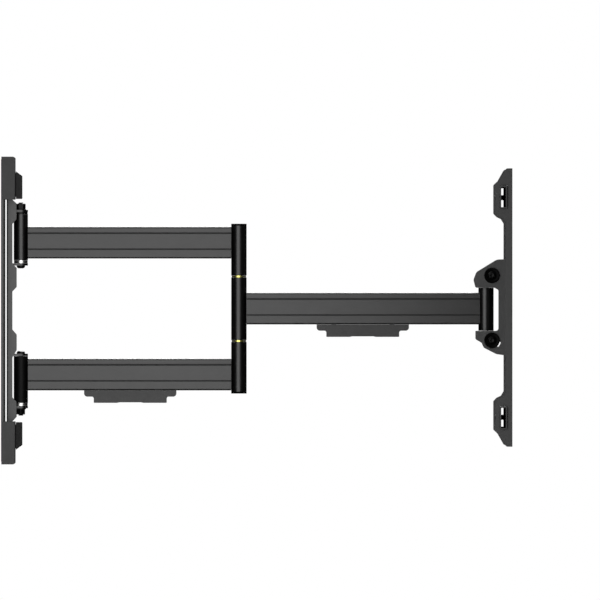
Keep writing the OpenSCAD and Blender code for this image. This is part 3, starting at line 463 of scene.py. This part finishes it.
class Turned:
    """One mesh of bodies turned about their axes. Sizes are in millimetres, and places in metres."""

    def __init__(self):
        self.shape = bmesh.new()

    def body(self, stations, place, axis, ring=False):
        """Skins loops, each (radius, height). A radius of 0 closes an end; ring closes on itself."""
        turn = Vector((0, 0, 1)).rotation_difference(Vector(axis)).to_matrix()
        loops = []
        for radius, height in stations:
            points = []
            for i in range(STEPS if radius != 0 else 1):
                angle = 2 * math.pi * i / STEPS
                r = radius(angle) if callable(radius) else radius
                local = Vector((r * math.cos(angle), r * math.sin(angle), height)) * MM
                points.append(self.shape.verts.new(Vector(place) + turn @ local))
            loops.append(points)
        pairs = list(zip(loops, loops[1:]))
        if ring:
            pairs.append((loops[-1], loops[0]))
        for below, above in pairs:
            for i in range(STEPS):
                j = (i + 1) % STEPS
                corners = [below[i % len(below)], below[j % len(below)],
                           above[j % len(above)], above[i % len(above)]]
                self.shape.faces.new(list(dict.fromkeys(corners)))

    def thread(self, low, high, radius=BOLT_R):
        """Stations of a threaded end that closes with a chamfer at high."""
        stations = []
        height = low
        while height < high - THREAD_DEPTH:
            def crest(angle, at=height):
                phase = (at / PITCH - angle / (2 * math.pi)) % 1
                return radius - THREAD_DEPTH * abs(2 * phase - 1) * 0.8
            stations.append((crest, height))
            height += PITCH / THREAD_STATIONS
        return stations + [(radius - THREAD_DEPTH, high), (0, high)]

    def bolt(self, place, axis, length, head_r, head_h, bare):
        """Button head behind its place, then a bare shank and a threaded end along the axis."""
        rim = head_h * 0.3
        floor = head_h * 0.6 - head_h
        head = [(0, floor + 0.6), (hexagon(BUTTON_SOCKET), floor),
                (hexagon(BUTTON_SOCKET), 0.3 - head_h), (hexagon(BUTTON_SOCKET + 0.6), -head_h)]
        head += [(head_r * math.cos(t) ** 0.6, -rim - (head_h - rim) * math.sin(t))
                 for t in radians(56, 45, 30, 15, 0)]
        shank = [(head_r, 0), (BOLT_R, 0), (BOLT_R, bare)]
        self.body(head + shank + self.thread(bare, length), place, axis)

    def screw(self, place, axis, length, radius, head_r, head_h, socket):
        """Small screw with a domed head and a hexagon socket, threaded over its outer part."""
        bare = length * 0.4
        head = [(0, -head_h * 0.3), (hexagon(socket), -head_h * 0.4), (hexagon(socket), -head_h * 0.97)]
        head += [(head_r * wide, -head_h * tall) for wide, tall in DOMED_HEAD]
        shank = [(head_r, 0), (radius, 0), (radius, bare)]
        self.body(head + shank + self.thread(bare, length, radius), place, axis)

    def nut(self, place, axis, height, flats=NUT_FLATS, bore=BOLT_R, collar=0.0):
        """Hexagon nut chamfered at both faces, with a lock nut's round collar where one is given."""
        inner = flats / 2
        corner = flats / math.sqrt(3)
        cut = (corner - inner) * 0.6
        flats_h = height - collar
        whole = hexagon(flats)
        half_cut = hexagon(flats, corner - cut / 2)
        full_cut = hexagon(flats, inner + 0.1)
        mouth = bore + BORE_CHAMFER
        stations = [(mouth, 0), (inner - 0.3, 0), (full_cut, 0.15), (half_cut, cut / 2), (whole, cut),
                    (whole, flats_h - cut), (half_cut, flats_h - cut / 2), (full_cut, flats_h - 0.15)]
        if collar:
            stations += [(inner - 0.7, flats_h), (inner - 0.8, height - 0.9),
                         (inner - 1.1, height - 0.3), (inner - 1.8, height)]
        else:
            stations.append((inner - 0.3, flats_h))
        stations += [(mouth, height), (bore, height - BORE_CHAMFER), (bore, BORE_CHAMFER)]
        self.body(stations, place, axis, ring=True)

    def dished_washer(self, place, axis, radius, height):
        """Thick cap with a rolled rim and a recess that the bolt's head sits in."""
        bore = BOLT_R + CAP_PLAY
        bottom = height - CAP_RECESS
        rim = [(radius - CAP_ROLL + CAP_ROLL * math.sin(t), height - CAP_ROLL + CAP_ROLL * math.cos(t))
               for t in radians(90, 70, 50, 30, 10, -12)]
        slope = [(radius - 2.6, height - 0.45), (BUTTON_R + 1.2, height - 0.6), (BUTTON_R + 0.5, bottom)]
        self.body([(bore, 0), (radius - 0.3, 0), (radius, 0.3)] + rim + slope + [(bore, bottom)],
                  place, axis, ring=True)

    def finish(self, name, node):
        """Makes the object that stands in for a CAD node, on that node's body and with its slot."""
        slot = slot_of[node]
        bmesh.ops.recalc_face_normals(self.shape, faces=self.shape.faces)
        mesh = bpy.data.meshes.new(name)
        self.shape.to_mesh(mesh)
        self.shape.free()
        obj = bpy.data.objects.new(name, mesh)
        scene.collection.objects.link(obj)
        mesh.materials.append(MATERIALS[slot])
        shade_by_angle(obj)
        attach(obj, body_of[node])
        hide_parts(node)


def middle(node):
    low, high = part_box(node)
    return (low + high) / 2


def shoulder_fasteners():
    """Bolt head below and nut above on the upper hinge, the other way up on the lower one."""
    bolts, nuts = Turned(), Turned()
    bolt_low, bolt_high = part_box("shoulder_bolts")
    for clevis, up in (("upper_clevis", 1), ("lower_clevis", -1)):
        low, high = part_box(clevis)
        head_z, nut_z = (low.z, high.z) if up > 0 else (high.z, low.z)
        tip = bolt_high.z if up > 0 else bolt_low.z
        bolts.bolt((SHOULDER_X, 0, head_z), (0, 0, up), abs(tip - head_z) / MM,
                   BUTTON_R, BUTTON_H, SHOULDER_BARE)
        nuts.nut((SHOULDER_X, 0, nut_z + up * WASHER_H * MM), (0, 0, up), SHOULDER_NUT_H)
    bolts.finish("shoulder_button_bolts", "shoulder_bolts")
    nuts.finish("shoulder_lock_nuts", "shoulder_nuts")


def tilt_fasteners():
    """Two cross bolts with dished caps on both cheeks and lock nuts on the far side."""
    cap_low, cap_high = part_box("tilt_cap_washers")
    bracket_low, bracket_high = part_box("tilt_bracket")
    cap_h = (bracket_low.y - cap_low.y) / MM
    cap_r = (cap_high.x - cap_low.x) / 2 / MM
    seat = cap_low.y + CAP_RECESS * MM
    caps, nuts = Turned(), Turned()
    for node in ("tilt_pivot_bolt", "tilt_lock_bolt"):
        centre = middle(node)
        low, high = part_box(node)
        bolt = Turned()
        bolt.bolt((centre.x, seat, centre.z), (0, 1, 0), (high.y - seat) / MM,
                  BUTTON_R, (seat - low.y) / MM, TILT_BARE)
        bolt.finish(node.replace("bolt", "button_bolt"), node)
        for side, y in ((-1, bracket_low.y), (1, bracket_high.y)):
            caps.dished_washer((centre.x, y, centre.z), (0, side, 0), cap_r, cap_h)
        nuts.nut((centre.x, cap_high.y - CAP_RECESS * MM, centre.z), (0, 1, 0),
                 TILT_NUT_H + CAP_RECESS, collar=COLLAR_H)
    caps.finish("dished_caps", "tilt_cap_washers")
    nuts.finish("tilt_lock_nuts", "tilt_nuts")


def swivel_fasteners():
    """The knuckle's long bolt, head up, with a plain nut under it."""
    low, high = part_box("swivel_bolt")
    nut_low, nut_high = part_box("swivel_nut")
    bolt, nut = Turned(), Turned()
    seat = high.z - BUTTON_H * MM
    bolt.bolt((KNUCKLE_X, 0, seat), (0, 0, -1), (seat - low.z) / MM, SWIVEL_HEAD_R, BUTTON_H, SWIVEL_BARE)
    nut.nut((KNUCKLE_X, 0, nut_high.z), (0, 0, -1), (nut_high.z - nut_low.z) / MM)
    bolt.finish("swivel_button_bolt", "swivel_bolt")
    nut.finish("swivel_hex_nut", "swivel_nut")


def plate_fasteners():
    """Screws that hold the centre plate on the tilting bracket, and bolts that hold it on the rails."""
    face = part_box("centre_plate")[1].x
    rail_heights = [middle(rail).z for rail in ("upper_rail", "lower_rail")]
    for screw_node, nut_node, head_r, shank_r, socket, flats, heights in (
            ("centre_plate_screws", "centre_plate_nuts", 5.5, 3, 4, 10, None),
            ("rail_bolts", "rail_nuts", BUTTON_R, BOLT_R, 5, NUT_FLATS, rail_heights)):
        low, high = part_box(screw_node)
        nut_low, nut_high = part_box(nut_node)
        y = high.y - head_r * MM
        screws, nuts = Turned(), Turned()
        for z in heights or (high.z - head_r * MM, low.z + head_r * MM):
            for side in (-1, 1):
                screws.screw((face, side * y, z), (-1, 0, 0), (face - low.x) / MM,
                             shank_r, head_r, (high.x - face) / MM, socket)
                nuts.nut((nut_high.x, side * y, z), (-1, 0, 0), (nut_high.x - nut_low.x) / MM,
                         flats, shank_r)
        screws.finish("domed_" + screw_node, screw_node)
        nuts.finish("hex_" + nut_node, nut_node)


def set_screws():
    """Headless socket screws in the ears of the TV brackets."""
    for node in ("left_lock_screws", "right_lock_screws"):
        low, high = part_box(node)
        radius = (high.y - low.y) / 2 / MM
        length = (high.x - low.x) / MM
        socket = [(0, 2.6), (hexagon(3), 2.2), (hexagon(3), 0.3), (hexagon(3.5), 0), (radius - 0.6, 0)]
        tip = [(radius - 0.9, length - 0.6), (radius - 1.4, length), (0, length)]
        screws = Turned()
        for z in (high.z - radius * MM, low.z + radius * MM):
            flank = screws.thread(0.6, length - 1.2, radius)[:-2]
            screws.body(socket + flank + tip, (low.x, middle(node).y, z), (1, 0, 0))
        screws.finish(node.replace("lock", "socket"), node)


def rivets():
    """Domed rivets that hold the channel on its spacers."""
    low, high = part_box("channel_rivets")
    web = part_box("upper_clevis")[0].x
    head_h = (high.x - web) / MM
    back = (low.x - web) / MM
    shank = [(0, back), (RIVET_SHANK_R, back), (RIVET_SHANK_R, 0)]
    dome = [(RIVET_HEAD_R * math.cos(t), head_h * math.sin(t)) for t in radians(0, 20, 40, 60, 78)]
    inset = RIVET_HEAD_R * MM
    made = Turned()
    for z in (low.z + inset, high.z - inset):
        for y in (low.y + inset, high.y - inset):
            made.body(shank + dome + [(0, head_h)], (web, y, z), (1, 0, 0))
    made.finish("domed_rivets", "channel_rivets")


shoulder_fasteners()
tilt_fasteners()
swivel_fasteners()
plate_fasteners()
set_screws()
rivets()


# ---------------------------------------------------------------- floor, light and camera

VIEW_WIDTH = 0.93
VIEW_CENTRE = Vector((0.4627, 0, 0.0163))
LENS = 1400
SENSOR = 36
CLIP_NEAR, CLIP_FAR = 0.1, 100

FLOOR_Z = -0.5
FLOOR_R = 8
FLOOR_WHOLE_TO = 0.7
FLOOR_GONE_AT = 1.25

# The middle of the mount, which every light but the key is aimed at.
AIM = (0.4, 0, 0)


def make_floor():
    """A pale round floor that fades out early, so that it has no edge against the white surround."""
    mesh = bpy.data.meshes.new("floor")
    shape = bmesh.new()
    bmesh.ops.create_circle(shape, cap_ends=True, segments=96, radius=FLOOR_R)
    shape.to_mesh(mesh)
    shape.free()
    floor = bpy.data.objects.new("floor", mesh)
    scene.collection.objects.link(floor)
    floor.location = (cad_high.x / 2, 0, FLOOR_Z)
    n = Nodes("floor_paint")
    n.shader.inputs["Base Color"].default_value = (0.8, 0.8, 0.8, 1)
    n.shader.inputs["Roughness"].default_value = 0.8
    distance = n.add("ShaderNodeVectorMath", operation="LENGTH")
    n.join(n.place, "Object", distance, 0)
    fade = n.add("ShaderNodeMapRange", interpolation_type="SMOOTHSTEP",
                 From_Min=FLOOR_WHOLE_TO, From_Max=FLOOR_GONE_AT)
    n.join(distance, "Value", fade, "Value")
    clear = n.add("ShaderNodeBsdfTransparent")
    mix = n.add("ShaderNodeMixShader")
    n.join(fade, "Result", mix, "Fac")
    n.join(n.shader, "BSDF", mix, 1)
    n.join(clear, "BSDF", mix, 2)
    n.join(mix, "Shader", n.out, "Surface")
    mesh.materials.append(n.material)
    floor.visible_glossy = False


def make_world():
    """White where the camera looks past the object; for everything else a dim room, lighter overhead."""
    world = bpy.data.worlds.new("studio")
    scene.world = world
    world.use_nodes = True
    tree = world.node_tree
    tree.nodes.clear()
    out = tree.nodes.new("ShaderNodeOutputWorld")
    mix = tree.nodes.new("ShaderNodeMixShader")
    rays = tree.nodes.new("ShaderNodeLightPath")
    room = tree.nodes.new("ShaderNodeBackground")
    white = tree.nodes.new("ShaderNodeBackground")
    white.inputs["Color"].default_value = (1, 1, 1, 1)
    place = tree.nodes.new("ShaderNodeTexCoord")
    split = tree.nodes.new("ShaderNodeSeparateXYZ")
    ramp = tree.nodes.new("ShaderNodeValToRGB")
    horizon, zenith = ramp.color_ramp.elements
    horizon.position = 0.15
    horizon.color = (0.004, 0.004, 0.004, 1)
    zenith.position = 0.9
    zenith.color = (0.5, 0.5, 0.5, 1)
    join = tree.links.new
    join(place.outputs["Generated"], split.inputs[0])
    join(split.outputs["Z"], ramp.inputs["Fac"])
    join(ramp.outputs["Color"], room.inputs["Color"])
    join(rays.outputs["Is Camera Ray"], mix.inputs["Fac"])
    join(room.outputs["Background"], mix.inputs[1])
    join(white.outputs["Background"], mix.inputs[2])
    join(mix.outputs["Shader"], out.inputs["Surface"])


def softbox(name, at, towards, width, height, power):
    """A rectangular light, in metres and watts, that the camera doesn't see."""
    light = bpy.data.lights.new(name, "AREA")
    light.shape = "RECTANGLE"
    light.size = width
    light.size_y = height
    light.energy = power
    obj = bpy.data.objects.new(name, light)
    scene.collection.objects.link(obj)
    obj.location = at
    obj.rotation_mode = "QUATERNION"
    obj.rotation_quaternion = (Vector(towards) - Vector(at)).to_track_quat("-Z", "Y")
    obj.visible_camera = False


def make_lights():
    """The key is level with the arms and narrow, so that round steel falls to black at its flanks."""
    softbox("key", (0.13, -1.285, 0), (0.13, 0, 0), 1.06, 1.5, 16.2)
    softbox("overhead", (0.4, 0.5, 2.6), AIM, 1.8, 1.2, 9)
    softbox("far_side", (0.4, 2.2, 1.9), AIM, 1.8, 1.4, 130)
    softbox("front_side", (2.8, 0.8, 2.1), AIM, 1.2, 1.2, 36)
    softbox("wall_side", (-2.0, 0.8, 2.1), AIM, 1.2, 1.2, 26)


def make_camera():
    """Square on to the side of the arm, far away behind a long lens."""
    data = bpy.data.cameras.new("camera")
    data.type = "PERSP"
    data.sensor_width = SENSOR
    data.lens = LENS
    data.clip_start = CLIP_NEAR
    data.clip_end = CLIP_FAR
    camera = bpy.data.objects.new("camera", data)
    scene.collection.objects.link(camera)
    distance = VIEW_WIDTH * LENS / SENSOR
    camera.location = VIEW_CENTRE - Vector((0, distance, 0))
    camera.rotation_euler = (math.pi / 2, 0, 0)
    scene.camera = camera


make_floor()
make_world()
make_lights()
make_camera()
scene.view_settings.view_transform = "Standard"
scene.view_settings.look = "None"
